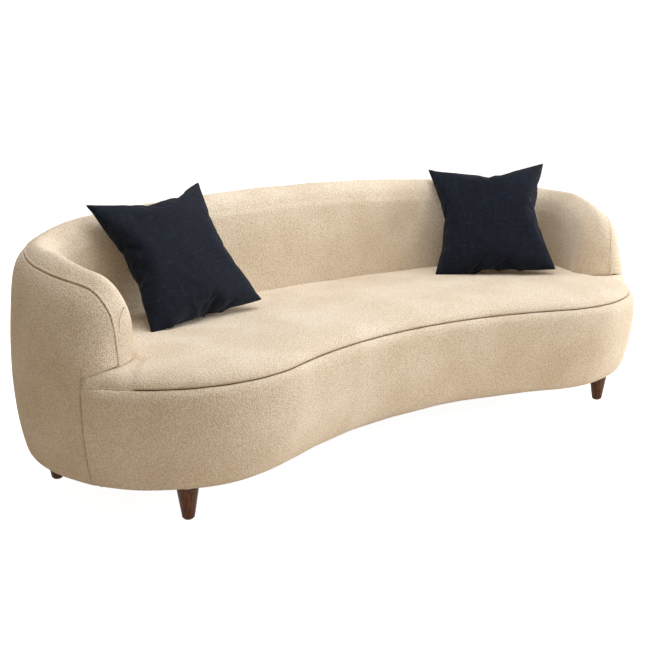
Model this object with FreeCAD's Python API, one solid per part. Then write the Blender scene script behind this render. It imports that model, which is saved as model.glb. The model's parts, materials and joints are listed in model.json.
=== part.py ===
import FreeCAD, Part
import math
import os
from FreeCAD import Vector

# Curved sofa: a bean-shaped seat on four turned legs, with one upholstered band that runs
# round the back and becomes both arms, and two loose scatter cushions.
# Millimetres. +X is to the right of someone who looks at the sofa's front, -Y is the front
# and +Z is up. The origin is on the floor, under the middle of the sofa.

# Plan outline
overall_width = 2300.0
overall_depth = 905.0
back_sweep_radius = 4442.0      # long curve of the back
end_lobe_radius = 441.0         # rounded ends of the seat
front_recess = 148.0            # how far the middle of the front lies behind the two ends

# Upholstered band of back and arms
rim_height_middle = 762.0       # top of the back roll above the floor
rim_height_corner = 730.0       # where the back starts to turn into the arm
rim_height_side = 690.0         # at the widest point of the sofa
rim_height_arm_front = 652.0    # just before the arm rounds down
back_thickness = 145.0
arm_end_thickness = 205.0
arm_tip_angle = 41.0            # how far the arms come round the ends, in degrees
arm_nose_length = 110.0         # rounded part of the arm's front, along the outline
arm_nose_outer_rounding = 100.0  # what the rounding takes off the outside of the arm
arm_nose_inner_rounding = 60.0  # what it takes off the inside
arm_nose_drop = 120.0           # what it takes off the height
panel_end_angle = 26.0          # where the outside panel meets the front border
rim_seam_inset = 46.0           # seam between outside panel and rim band
waist_height = 385.0            # the outside panel is plain below and rolls in above

# Section of the band's roll: share of the band's thickness from outside to inside, and the
# depth below the top on a band of the back's thickness. A third value marks the middle of an arc.
roll_profile = (
    (0.09, 110.0), (0.21, 47.0, 0), (0.44, 8.0), (0.62, 0.0, 0), (0.82, 22.0), (0.93, 55.0, 0),
    (0.98, 105.0))
outside_lean = 0.0225           # share of the thickness by which the panel's middle leans in
thickening_start = 1.7          # outline station where the band starts to thicken

# Lower body
underside_height = 95.0
foot_inset = 66.0               # how far the underside is drawn in
foot_curve_rise = 21.0          # middle of the rounded lower edge, above the underside
foot_curve_share = 0.54         # and its share of the foot inset
lower_curve_height = 158.0
lower_curve_inset = 20.0
belly_height = 305.0            # widest height of the body
belly_curve_share = 0.3         # share of the lower curve's inset half way up to the belly
border_straight_drop = 37.0     # the front border is plumb up to this far below the seat seam
border_shoulder_drop = 14.0     # middle of its rounded shoulder, below the seam
border_shoulder_share = 0.28    # and its share of the seam's inset

# Seat
seat_height = 425.0
seat_seam_height = 382.0
seat_seam_inset = 18.0
seat_roll_width = 125.0         # width of the soft edge between seam and flat seat
seat_skirt_inset = 5.5          # side of the seat padding inside the front border
seat_skirt_drop = 30.0          # how far below the seam that side starts to turn in

# Cloth and padding
cover_thickness = 3.0
layer_gap = 0.9                 # free space between one soft layer and the next
flat_gap = 0.6                  # free space between flat layers of the seat
padding_foot = 2.6              # least thickness of the padding at the underside
padding_lift = 0.5              # the padding starts this far above the frame's lower edge
seam_lip_height = 1.5
seam_lip_width = 5.0
welt_radius = 2.8
padding_back = 42.0             # the boards of the frame start this far inside the outline

# Wooden frame
board_thickness = 4.0
ring_thickness = 18.0
ring_width = 104.0
base_rail_thickness = 28.0
base_rail_inset = 73.0
base_rail_width = 95.0
seat_ring_top = 308.0
post_depth = 44.0
post_width = 45.0
back_rail_top = 672.0
back_rail_thickness = 22.0
back_rail_end = 1.12            # outline station where the back rail ends
arm_rail_top = 582.0
outer_board_top = 560.0
cross_rail_thickness = 30.0
cross_rail_clearance = 12.0     # between the posts and the ends of the cross rails
cross_rail_places = (-660.0, -220.0, 220.0, 660.0)

# Suspension
spring_wire_radius = 2.0
spring_width = 48.0
spring_pitch = 30.0
spring_count = 11
spring_spacing = 150.0
spring_hold = 14.0              # the clips sit this far from the opening, on the ring
clip_width = 16.0
clip_depth = 13.0
clip_height = 8.0
clip_bore_play = 0.3
tie_wire_radius = 1.2
tie_wire_places = (-60.0, 90.0)
felt_thickness = 6.0
webbing_thickness = 2.0
webbing_width = 60.0

# Legs
leg_length = 90.0
leg_top_radius = 30.5
leg_bottom_radius = 17.0
leg_inset = 98.0
front_leg_angle = 66.0          # from the widest point round towards the front, in degrees
rear_leg_angle = 35.0           # from the widest point round towards the back
glide_thickness = 3.0
glide_radius = 13.0
glide_pin_radius = 1.5
glide_pin_length = 14.0
plate_thickness = 3.0
plate_radius = 29.0
bolt_radius = 4.0
bolt_in_leg = 32.0
bolt_in_rail = 22.0
bolt_play = 0.3
plate_screw_radius = 2.0
plate_screw_length = 18.0
plate_screw_circle = 21.0
plate_screw_head = 3.8

# Scatter cushions
cushion_side = 435.0
cushion_thickness = 118.0
cushion_edge_bow = 17.0         # how far each edge is drawn in between its corners
cushion_cloth = 2.5

# A pillow's half as stacked outlines: share of its side, share of its half thickness, and
# share of the edge bow, which turns from drawn-in at the seam to bulged on the crown
pillow_profile = (
    (1.0, 0.0, 1.0), (0.93, 0.24, 0.72), (0.8, 0.48, 0.2), (0.62, 0.72, -0.5), (0.4, 0.9, -0.8),
    (0.16, 0.99, -0.4))
cushion_seat_clearance = 0.4
left_cushion_place = (-552.0, 24.0)
left_cushion_turn = 6.0
left_cushion_lean = 36.0
left_cushion_roll = -5.0
right_cushion_place = (628.0, -17.0)
right_cushion_turn = -42.0
right_cushion_lean = 34.0
right_cushion_roll = -4.0

# Small parts
dust_cover_thickness = 1.0
dust_cover_inset = 71.0
staple_width = 10.0
staple_wire = 1.2
staple_count = 44

# Plan geometry that follows from the outline sizes
half_width = overall_width / 2
half_depth = overall_depth / 2
back_centre_y = half_depth - back_sweep_radius
lobe_centre = (half_width - end_lobe_radius, end_lobe_radius - half_depth)
corner_reach = lobe_centre[1] - back_centre_y
corner_radius = (back_sweep_radius ** 2 - half_width ** 2 - corner_reach ** 2) / (
    2 * back_sweep_radius - overall_width)
corner_centre = (half_width - corner_radius, lobe_centre[1])
lobe_rise = end_lobe_radius - front_recess
front_radius = (lobe_centre[0] ** 2 + lobe_rise ** 2 - end_lobe_radius ** 2) / (2 * front_recess)
front_centre_y = front_recess - half_depth - front_radius
back_angle = math.degrees(math.atan2(corner_centre[0], corner_centre[1] - back_centre_y))
front_angle = math.degrees(math.atan2(lobe_centre[0], lobe_centre[1] - front_centre_y))

# The right half of the outline is four tangent arcs, from the middle of the back to the
# middle of the front. Angles turn clockwise from +Y, and side is -1 on the hollow front.
arcs = (
    ((0.0, back_centre_y), back_sweep_radius, 1, 0.0, back_angle),
    (corner_centre, corner_radius, 1, back_angle, 90.0),
    (lobe_centre, end_lobe_radius, 1, 90.0, 180.0 + front_angle),
    ((0.0, front_centre_y), front_radius, -1, front_angle, 0.0),
)
arm_tip = 2.0 + arm_tip_angle / (90.0 + front_angle)
panel_end = 2.0 + panel_end_angle / (90.0 + front_angle)


def angle_at(station):
    """Arc and angle of an outline station: 0 is the middle of the back, 4 of the front."""
    index = min(int(abs(station)), 3)
    start, end = arcs[index][3:]
    return arcs[index], start + (end - start) * (abs(station) - index)


def at(station, inset, height):
    """Point at a station, moved inwards by inset. Negative stations are on the left."""
    (centre, radius, side, _, _), angle = angle_at(station)
    reach = radius - side * inset
    x = centre[0] + reach * math.sin(math.radians(angle))
    y = centre[1] + reach * math.cos(math.radians(angle))
    return Vector(math.copysign(1.0, station) * x, y, height)


def station_step(length, index):
    """Share of an arc that a length along the outline covers."""
    _, radius, _, start, end = arcs[index]
    return math.degrees(length / radius) / abs(end - start)


nose_start = arm_tip - station_step(arm_nose_length, 2)


def outline_edges(inset, height, start, end):
    """Edges of one half of the outline between two stations of that half."""
    cuts = [start] + [k for k in range(1, 4) if start < k < end] + [end]
    edges = []
    for a, b in zip(cuts[:-1], cuts[1:]):
        edges.append(Part.Arc(at(a, inset, height), at((a + b) / 2, inset, height),
                              at(b, inset, height)).toShape())
    return edges


def mirrored(shape):
    return shape.mirror(Vector(0, 0, 0), Vector(1, 0, 0))


def outline_wire(inset, height):
    """The whole bean outline as one closed wire of eight arcs."""
    right = outline_edges(inset, height, 0.0, 4.0)
    left = [mirrored(edge) for edge in right]
    return Part.Wire(Part.sortEdges(right + left)[0])


def slab(inset, bottom, top):
    face = Part.Face(outline_wire(inset, bottom))
    return face.extrude(Vector(0, 0, top - bottom))


def section_face(station, points):
    """Face of a section given as (inset, height) points; a triple is an arc's middle point."""
    edges = []
    count = len(points)
    for i, p in enumerate(points):
        if len(p) == 3:
            continue
        following = points[(i + 1) % count]
        if len(following) == 3:
            after = points[(i + 2) % count]
            edges.append(Part.Arc(at(station, *p), at(station, *following[:2]),
                                  at(station, *after)).toShape())
        else:
            edges.append(Part.makeLine(at(station, *p), at(station, *following)))
    return Part.Face(Part.Wire(edges))


def swept(points, start, end):
    """Solid of one section carried along the right half of the outline."""
    cuts = [start] + [k for k in range(1, 4) if start < k < end] + [end]
    solids = []
    for a, b in zip(cuts[:-1], cuts[1:]):
        index = int(a)
        centre, _, _, first, last = arcs[index]
        turn = (last - first) * (b - a)
        face = section_face(a, points)
        solids.append(face.revolve(Vector(centre[0], centre[1], 0), Vector(0, 0, -1), turn))
    return joined(solids)


def joined(solids):
    """One solid from touching solids."""
    result = solids[0]
    if len(solids) > 1:
        result = result.fuse(solids[1:]).removeSplitter()
    return result


def box_section(inset_a, inset_b, bottom, top):
    return [(inset_a, bottom), (inset_b, bottom), (inset_b, top), (inset_a, top)]


def around(points, start, end):
    """The section carried along both halves and joined."""
    right = swept(points, start, end)
    return joined([right, mirrored(right)])


def export(name, shapes):
    """Write one sub-part, which may be a group of separate solids."""
    solids = []
    for shape in shapes:
        solids.extend(shape.Solids)
    result = solids[0] if len(solids) == 1 else Part.makeCompound(solids)
    result.exportStep(os.path.join("parts", name + ".step"))
    volume = sum(s.Volume for s in solids) / 1e6
    print("%-26s %3d solids %9.3f litres valid %s" % (name, len(solids), volume, result.isValid()))
    return result


# Outer surface of the lower body and of the upholstered band

def lower_skin_section(shrink, top, turned_in):
    """Inner or outer side of the lower body, from the underside up. Turned in at the seat seam."""
    points = [
        (foot_inset + shrink, underside_height),
        (foot_curve_share * foot_inset + shrink, underside_height + foot_curve_rise, 0),
        (lower_curve_inset + shrink, lower_curve_height),
        (belly_curve_share * lower_curve_inset + shrink, (lower_curve_height + belly_height) / 2, 0),
        (shrink, belly_height),
    ]
    if turned_in:
        points += [
            (shrink, top - border_straight_drop),
            (border_shoulder_share * seat_seam_inset + shrink, top - border_shoulder_drop - shrink / 2, 0),
            (seat_seam_inset + shrink, top - shrink / 2),
        ]
    else:
        points.append((shrink, top))
    return points


def rim_height(station):
    """Height of the roll along the band, falling from the middle to the arm fronts."""
    s = abs(station)
    if s <= 1:
        return rim_height_middle - (rim_height_middle - rim_height_corner) * s ** 2
    if s <= 2:
        return rim_height_side + (rim_height_corner - rim_height_side) * (2 - s) ** 1.5
    share = (s - 2) / (nose_start - 2)
    return rim_height_side - (rim_height_side - rim_height_arm_front) * share


def band_thickness(station):
    s = abs(station)
    share = max(0.0, min(1.0, (s - thickening_start) / (nose_start - thickening_start)))
    return back_thickness + (arm_end_thickness - back_thickness) * share


def band_section(station, shrink, nose):
    """Closed section from the underside to the rim. Nose is 0 along the arm and 1 at its tip."""
    rounding = 1 - math.sqrt(1 - nose ** 2)
    top = rim_height(station) - arm_nose_drop * rounding - shrink
    outer = arm_nose_outer_rounding * rounding + shrink
    inner = band_thickness(station) - arm_nose_inner_rounding * rounding - shrink
    width = inner - outer
    scale = width / back_thickness
    roll = [(outer + p[0] * width, top - p[1] * scale) + p[2:] for p in roll_profile]
    panel_middle = (outer + outside_lean * width, (waist_height + roll[0][1]) / 2, 0)
    points = lower_skin_section(outer, waist_height, False) + [panel_middle] + roll
    return section_face(station, points + [(inner, underside_height)]).OuterWire


def nose_stations(shrink):
    """Stations over the rounded front of an arm, with the nose value of each."""
    tip = arm_tip - station_step(shrink, 2)
    length = arm_tip - nose_start
    return [(tip - length * (1 - n), n) for n in (0.0, 0.5, 0.8, 0.94, 0.98)]


def arm_envelope(shrink):
    nose = nose_stations(shrink)
    first = nose[0][0]
    wires = [band_section(1 + (first - 1) * k / 8, shrink, 0.0) for k in range(8)]
    wires += [band_section(s, shrink, n) for s, n in nose]
    return Part.makeLoft(wires, True, False)


def back_envelope(shrink):
    wires = [band_section((k - 4) / 4, shrink, 0.0) for k in range(9)]
    return Part.makeLoft(wires, True, False)


def band_envelope(shrink):
    arm = arm_envelope(shrink)
    return joined([back_envelope(shrink), arm, mirrored(arm)])


def everything_below(height):
    return Part.makeBox(overall_width + 100, overall_depth + 100, height,
                        Vector(-half_width - 50, -half_depth - 50, 0))


# Lower body: constant sections carried round the outline

def front_border(start, end):
    outside = lower_skin_section(0.0, seat_seam_height, True)
    inside = lower_skin_section(cover_thickness, seat_seam_height, True)
    return around(outside + inside[::-1], start, end)


def lower_padding(top, start, end):
    """Padding between the cover and the boards of the frame."""
    shrink = cover_thickness + layer_gap
    back = padding_back - layer_gap
    points = [
        (back - padding_foot, base_ring_bottom + padding_lift),
        (lower_curve_inset + shrink, lower_curve_height),
        (belly_curve_share * lower_curve_inset + shrink, (lower_curve_height + belly_height) / 2, 0),
        (shrink, belly_height),
        (shrink, top),
        (back, top),
        (back, base_ring_bottom + padding_lift),
    ]
    return around(points, start, end)


# Seat

def seat_envelope(shrink, base):
    """Crowned seat over the whole bean: soft edge from the seam up to the flat top."""
    rise = seat_height - seat_seam_height
    wires = []
    if base < seat_seam_height - shrink:
        wires.append(outline_wire(seat_skirt_inset, base))
        wires.append(outline_wire(seat_skirt_inset, seat_seam_height - seat_skirt_drop))
    for k in range(5):
        angle = math.radians(22.5 * k)
        inset = seat_seam_inset + shrink + seat_roll_width * (1 - math.cos(angle))
        wires.append(outline_wire(inset, seat_seam_height - shrink + rise * math.sin(angle)))
    return Part.makeLoft(wires, True, True)


# Levels and insets that follow from the sizes above
base_rail_bottom = glide_thickness + leg_length + plate_thickness
base_ring_bottom = base_rail_bottom + base_rail_thickness
base_ring_top = base_ring_bottom + ring_thickness
seat_ring_bottom = seat_ring_top - ring_thickness
frame_inset = padding_back + board_thickness
post_inset = frame_inset + post_depth
ring_inset = frame_inset + ring_width
foam_shrink = cover_thickness + layer_gap
clear = -layer_gap
felt_bottom = seat_ring_top + clip_height + flat_gap
foam_bottom = felt_bottom + felt_thickness + flat_gap
spring_height = seat_ring_top + clip_height / 2
panel_gap = station_step(layer_gap, 2)
sky = rim_height_middle + 50


def box_block(inset_a, inset_b, bottom, top, station, width):
    """Curved block that follows the outline, centred on a station of the right half."""
    index = min(int(station), 3)
    half = station_step(width / 2, index)
    start = max(0.0, station - half)
    end = min(4.0, station + half)
    block = swept(box_section(inset_a, inset_b, bottom, top), start, end)
    if start == 0.0 or end == 4.0:
        return [joined([block, mirrored(block)])]
    return [block, mirrored(block)]


def blocks(inset_a, inset_b, bottom, top, stations, width):
    found = []
    for station in stations:
        found += box_block(inset_a, inset_b, bottom, top, station, width)
    return found


def cylinder(x, y, bottom, top, radius):
    return Part.makeCylinder(radius, top - bottom, Vector(x, y, bottom))


def leg_places():
    front = 2.0 + front_leg_angle / (90.0 + front_angle)
    rear = 1.0 + (90.0 - rear_leg_angle - back_angle) / (90.0 - back_angle)
    places = []
    for name, station in (("front", front), ("rear", rear)):
        p = at(station, leg_inset, 0)
        places.append((name + "_right", p.x, p.y))
        places.append((name + "_left", -p.x, p.y))
    return places


def outline_y(x, inset, front):
    """Where the outline, moved inwards, crosses a line along Y at x, by halving steps."""
    low, high = (2.6, 4.0) if front else (0.0, 1.8)
    for _ in range(60):
        middle = (low + high) / 2
        past = at(middle, inset, 0).x > abs(x)
        if past == front:
            low = middle
        else:
            high = middle
    return at(low, inset, 0).y


# Frame

def make_frame():
    rail_cuts = []
    for _, x, y in leg_places():
        rail_cuts.append(cylinder(x, y, base_rail_bottom - 1, base_rail_bottom + bolt_in_rail + 2,
                                  bolt_radius + bolt_play))
        for px, py in screw_places(x, y):
            depth = plate_screw_length + 1
            rail_cuts.append(cylinder(px, py, base_rail_bottom - 1, base_rail_bottom + depth,
                                      plate_screw_radius + bolt_play))
    base_rail_end = base_rail_inset + base_rail_width
    rail = around(box_section(base_rail_inset, base_rail_end, base_rail_bottom, base_ring_bottom), 0, 4)
    export("base_rail_ring", [rail.cut(rail_cuts)])
    for name, bottom, top in (("base_ring_plate", base_ring_bottom, base_ring_top),
                              ("seat_ring_plate", seat_ring_bottom, seat_ring_top)):
        export(name, [around(box_section(frame_inset, ring_inset, bottom, top), 0, 4)])
    export("front_posts", blocks(frame_inset, post_inset, base_ring_top, seat_ring_bottom,
                                 front_post_stations, post_width))
    export("back_lower_posts", blocks(frame_inset, post_inset, base_ring_top, seat_ring_bottom,
                                      back_post_stations + arm_post_stations, post_width))
    rail_bottom = back_rail_top - back_rail_thickness
    export("back_uprights", blocks(frame_inset, post_inset, seat_ring_top, rail_bottom,
                                   back_post_stations, post_width))
    arm_rail_bottom = arm_rail_top - back_rail_thickness
    uprights = blocks(frame_inset, post_inset, seat_ring_top, arm_rail_bottom, arm_post_stations, post_width)
    export("arm_uprights_right", uprights[0::2])
    export("arm_uprights_left", uprights[1::2])
    export("back_top_rail", [around(box_section(frame_inset, post_inset, rail_bottom, back_rail_top),
                                    0, back_rail_end)])
    arm_rail = swept(box_section(frame_inset, post_inset, arm_rail_bottom, arm_rail_top),
                     back_rail_end + station_step(post_width, 1), panel_end)
    export("arm_rail_right", [arm_rail])
    export("arm_rail_left", [mirrored(arm_rail)])
    cross = []
    for x in cross_rail_places:
        front = outline_y(x, post_inset + cross_rail_clearance, True)
        back = outline_y(x, post_inset + cross_rail_clearance, False)
        cross.append(Part.makeBox(cross_rail_thickness, back - front, seat_ring_bottom - base_ring_top,
                                  Vector(x - cross_rail_thickness / 2, front, base_ring_top)))
    export("cross_rails", cross)


def make_boards():
    outer = box_section(padding_back, frame_inset, base_ring_bottom, outer_board_top)
    export("outer_back_board", [around(outer, 0, panel_end)])
    front = box_section(padding_back, frame_inset, base_ring_bottom, seat_ring_top)
    export("front_board", [around(front, panel_end, 4)])


# Suspension

def spring_path(x, front, back):
    """Zigzag wire from the front clip to the back clip."""
    runs = max(3, 2 * int((back - front) / spring_pitch / 2) + 1)
    pitch = (back - front) / runs
    bend = pitch / 2
    reach = spring_width / 2 - bend
    edges = []
    side = -1
    for k in range(runs + 1):
        y = front + k * pitch
        start = Vector(x + side * reach, y, spring_height)
        end = Vector(x - side * reach, y, spring_height)
        edges.append(Part.makeLine(start, end))
        if k < runs:
            tip = Vector(x - side * (reach + bend), y + bend, spring_height)
            edges.append(Part.Arc(end, tip, end + Vector(0, pitch, 0)).toShape())
        side = -side
    return Part.Wire(edges)


def make_spring(x, front, back):
    path = spring_path(x, front, back)
    start = path.OrderedVertexes[0].Point
    profile = Part.Wire(Part.makeCircle(spring_wire_radius, start, Vector(1, 0, 0)))
    return path.makePipeShell([profile], True, False)


def make_clip(x, y):
    body = Part.makeBox(clip_width, clip_depth, clip_height,
                        Vector(x - clip_width / 2, y - clip_depth / 2, seat_ring_top))
    bore = Part.makeCylinder(spring_wire_radius + clip_bore_play, clip_width + 2,
                             Vector(x - clip_width / 2 - 1, y, spring_height), Vector(1, 0, 0))
    return body.cut(bore)


def make_suspension():
    springs = []
    clips = []
    hold = ring_inset - spring_hold
    for k in range(spring_count):
        x = (k - (spring_count - 1) / 2) * spring_spacing
        front = outline_y(x, hold, True)
        back = outline_y(x, hold, False)
        springs.append(make_spring(x, front, back))
        clips.append(make_clip(x, front))
        clips.append(make_clip(x, back))
    export("seat_springs", springs)
    export("spring_clips", clips)
    reach = (spring_count - 1) / 2 * spring_spacing + spring_width / 2
    height = spring_height + spring_wire_radius + tie_wire_radius + 0.1
    ties = []
    for y in tie_wire_places:
        ties.append(Part.makeCylinder(tie_wire_radius, 2 * reach, Vector(-reach, y, height), Vector(1, 0, 0)))
    export("spring_tie_wires", ties)
    top = back_rail_top - back_rail_thickness / 2
    export("back_webbing", blocks(post_inset, post_inset + webbing_thickness, seat_ring_top, top,
                                  webbing_stations, webbing_width))


# Padding and covers

def make_seat():
    under_band = around(box_section(-5, back_thickness + layer_gap, seat_ring_bottom, waist_height + 0.5),
                        0, panel_end)
    band = band_envelope(clear).cut(everything_below(waist_height - layer_gap))
    felt = slab(frame_inset + 1, felt_bottom, felt_bottom + felt_thickness)
    export("seat_felt_pad", [felt.cut(under_band)])
    foam = seat_envelope(foam_shrink, foam_bottom).cut(under_band).cut(band)
    export("seat_foam", [largest(foam)])
    cover = seat_envelope(0.0, seat_seam_height).cut(seat_envelope(cover_thickness, seat_seam_height + 9))
    export("seat_cover", [largest(cover.cut(under_band).cut(band))])


def largest(shape):
    """The main solid of a cut shape."""
    return max(shape.Solids, key=lambda solid: solid.Volume)


def make_lower_body():
    export("outer_padding", [lower_padding(waist_height - layer_gap, 0, panel_end)])
    export("front_border_padding", [lower_padding(foam_bottom - layer_gap, panel_end, 4)])
    export("front_border_cover", [front_border(panel_end, 4)])
    radius = welt_radius
    inset = seat_seam_inset - radius - 0.5
    height = seat_seam_height + 0.6 * radius
    start = arm_tip - 0.4 * (arm_tip - nose_start)
    ring = [(inset - radius, height), (inset, height + radius, 0), (inset + radius, height),
            (inset, height - radius, 0)]
    export("seat_seam_welt", [around(ring, start, 4)])


def frame_space():
    """Room inside the band's padding for posts, rails, boards and webbing."""
    inner = post_inset + webbing_thickness + layer_gap
    low = box_section(padding_back - layer_gap, inner, waist_height - 60, arm_rail_top + layer_gap)
    high = box_section(padding_back - layer_gap, inner, waist_height - 60, back_rail_top + layer_gap)
    return joined([around(low, 0, panel_end + panel_gap), around(high, 0, back_rail_end + 0.02)])


def make_band_padding():
    space = [frame_space(), everything_below(waist_height + layer_gap)]
    arm = arm_envelope(foam_shrink).cut(space)
    export("back_foam", [largest(back_envelope(foam_shrink).cut(space))])
    export("arm_foam_right", [largest(arm)])
    export("arm_foam_left", [mirrored(largest(arm))])


def make_band_covers():
    whole = band_envelope(0.0)
    skin = whole.cut(band_envelope(cover_thickness))
    beyond = arm_tip + 0.1
    low = underside_height - 1
    outside_zone = around([(-20, low), (foot_inset + 20, low), (foot_inset + 20, belly_height),
                           (rim_seam_inset, belly_height), (rim_seam_inset, sky), (-20, sky)], 0, beyond)
    front_zone = around(box_section(-20, arm_end_thickness + 20, low, waist_height), panel_end, 4)
    export("outside_cover", [largest(skin.common(outside_zone).cut(front_zone))])
    seat_zone = around(box_section(-20, arm_end_thickness + 20, low, waist_height), 0, beyond)
    export("rim_and_inside_cover", [largest(skin.cut(outside_zone).cut(seat_zone))])
    lip_zone = around(box_section(rim_seam_inset - seam_lip_width / 2, rim_seam_inset + seam_lip_width / 2,
                                  seat_height + layer_gap, sky), 0, beyond)
    lip = band_envelope(-seam_lip_height).cut(whole).common(lip_zone)
    export("rim_seam_welt", [lip])


# Legs

def screw_places(x, y):
    places = []
    for k in range(4):
        angle = math.radians(45 + 90 * k)
        places.append((x + plate_screw_circle * math.cos(angle), y + plate_screw_circle * math.sin(angle)))
    return places


def make_leg(x, y):
    bottom = glide_thickness
    top = glide_thickness + leg_length
    chamfer = 2.0
    outline = [Vector(0, 0, bottom), Vector(leg_bottom_radius - chamfer, 0, bottom),
               Vector(leg_bottom_radius, 0, bottom + chamfer), Vector(leg_top_radius, 0, top - chamfer),
               Vector(leg_top_radius - 1, 0, top), Vector(0, 0, top), Vector(0, 0, bottom)]
    turned = Part.Face(Part.makePolygon(outline)).revolve(Vector(0, 0, 0), Vector(0, 0, 1), 360)
    turned.translate(Vector(x, y, 0))
    bolt_hole = cylinder(x, y, top - bolt_in_leg - 1, top + 1, bolt_radius + bolt_play)
    pin_hole = cylinder(x, y, bottom - 1, bottom + glide_pin_length + 1, glide_pin_radius + bolt_play)
    return turned.cut([bolt_hole, pin_hole])


def make_glide(x, y):
    disc = cylinder(x, y, 0, glide_thickness, glide_radius)
    disc = disc.makeChamfer(0.8, [e for e in disc.Edges if e.BoundBox.ZMax < 0.01])
    pin = cylinder(x, y, glide_thickness - 0.5, glide_thickness + glide_pin_length, glide_pin_radius)
    return disc.fuse(pin)


def make_legs():
    plates = []
    bolts = []
    screws = []
    plate_bottom = base_rail_bottom - plate_thickness
    for name, x, y in leg_places():
        export("leg_" + name, [make_leg(x, y)])
        plate = cylinder(x, y, plate_bottom, base_rail_bottom, plate_radius)
        cuts = [cylinder(x, y, plate_bottom - 1, base_rail_bottom + 1, bolt_radius + bolt_play)]
        for px, py in screw_places(x, y):
            cuts.append(Part.makeCone(plate_screw_head + bolt_play, plate_screw_radius + bolt_play,
                                      plate_thickness, Vector(px, py, plate_bottom)))
            head = Part.makeCone(plate_screw_head, plate_screw_radius, plate_thickness,
                                 Vector(px, py, plate_bottom))
            shank = cylinder(px, py, base_rail_bottom, base_rail_bottom + plate_screw_length - 2,
                             plate_screw_radius)
            screws.append(head.fuse(shank))
        plates.append(plate.cut(cuts))
        bolts.append(cylinder(x, y, plate_bottom - bolt_in_leg, base_rail_bottom + bolt_in_rail, bolt_radius))
    export("leg_plates", plates)
    export("leg_bolts", bolts)
    export("leg_plate_screws", screws)
    export("leg_glides", [make_glide(x, y) for _, x, y in leg_places()])


def make_underside():
    bottom = base_rail_bottom - dust_cover_thickness
    cloth = slab(dust_cover_inset, bottom, base_rail_bottom)
    holes = [cylinder(x, y, bottom - 1, base_rail_bottom + 1, leg_top_radius + 1) for _, x, y in leg_places()]
    export("dust_cover", [cloth.cut(holes)])
    staples = []
    for k in range(staple_count // 2):
        station = 4.0 * (k + 0.5) / (staple_count // 2)
        p = at(station, dust_cover_inset + 9, 0)
        if all(math.hypot(abs(p.x) - abs(x), p.y - y) > leg_top_radius + 10 for _, x, y in leg_places()):
            staples += box_block(dust_cover_inset + 8, dust_cover_inset + 8 + staple_wire,
                                 bottom - staple_wire / 2, bottom, station, staple_width)
    export("dust_cover_staples", staples)


# Scatter cushions

def pillow(side, thickness, bow):
    """Square pillow: pointed corners, drawn-in edges and a crown, from stacked outlines."""
    halves = []
    for front in (-1, 1):
        wires = []
        for size, rise, draw in pillow_profile:
            half = size * side / 2
            inner = half - draw * bow
            y = front * rise * thickness / 2
            corners = [Vector(half, y, half), Vector(half, y, -half), Vector(-half, y, -half),
                       Vector(-half, y, half)]
            middles = [Vector(inner, y, 0), Vector(0, y, -inner), Vector(-inner, y, 0), Vector(0, y, inner)]
            edges = [Part.Arc(corners[k], middles[k], corners[(k + 1) % 4]).toShape() for k in range(4)]
            wires.append(Part.Wire(edges))
        halves.append(Part.makeLoft(wires, True, False))
    return joined(halves)


def placed(shape, place, turn, lean, roll):
    """Stand a pillow on its lower corner on the seat, rolled, leaning back and turned."""
    shape = shape.copy()
    shape.translate(Vector(0, 0, cushion_side / 2))
    shape.rotate(Vector(0, 0, 0), Vector(0, 1, 0), roll)
    shape.rotate(Vector(0, 0, 0), Vector(1, 0, 0), -lean)
    shape.rotate(Vector(0, 0, 0), Vector(0, 0, 1), turn)
    sink = cushion_side / 2 * math.sin(math.radians(abs(roll))) * math.cos(math.radians(lean))
    shape.translate(Vector(place[0], place[1], seat_height + cushion_seat_clearance + sink))
    return shape


def make_cushions():
    outer = pillow(cushion_side, cushion_thickness, cushion_edge_bow)
    hollow = pillow(cushion_side - 4 * cushion_cloth, cushion_thickness - 2 * cushion_cloth, cushion_edge_bow)
    filling_side = cushion_side - 4 * cushion_cloth - 3 * layer_gap
    filling = pillow(filling_side, cushion_thickness - 2 * cushion_cloth - 2 * layer_gap, cushion_edge_bow)
    cover = outer.cut(hollow)
    left = (left_cushion_place, left_cushion_turn, left_cushion_lean, left_cushion_roll)
    right = (right_cushion_place, right_cushion_turn, right_cushion_lean, right_cushion_roll)
    for name, pose in (("cushion_left", left), ("cushion_right", right)):
        export(name + "_cover", [placed(cover, *pose)])
        export(name + "_filling", [placed(filling, *pose)])


# Stations of the posts and straps on the right half of the outline
back_post_stations = (0.0, 0.36, 0.72, 1.04)
arm_post_stations = (1.4, 1.8, panel_end - station_step(post_width, 2) / 2)
front_post_stations = (panel_end + station_step(post_width, 2) / 2, 2.55, 2.9, 3.4, 4.0)
webbing_stations = (0.18, 0.54, 0.88)

os.makedirs("parts", exist_ok=True)
make_frame()
make_boards()
make_suspension()
make_seat()
make_lower_body()
make_band_padding()
make_band_covers()
make_legs()
make_underside()
make_cushions()
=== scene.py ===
# %% [markdown]
# # A curved sofa, dressed cell by cell
#
# The frame, legs and fittings of this sofa are already built as solids. This lesson adds
# what the eye meets first: loop-weave upholstery with its seams, two linen scatter
# cushions, lacquered walnut legs, a studio floor and the light. Every length is in metres.

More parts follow.
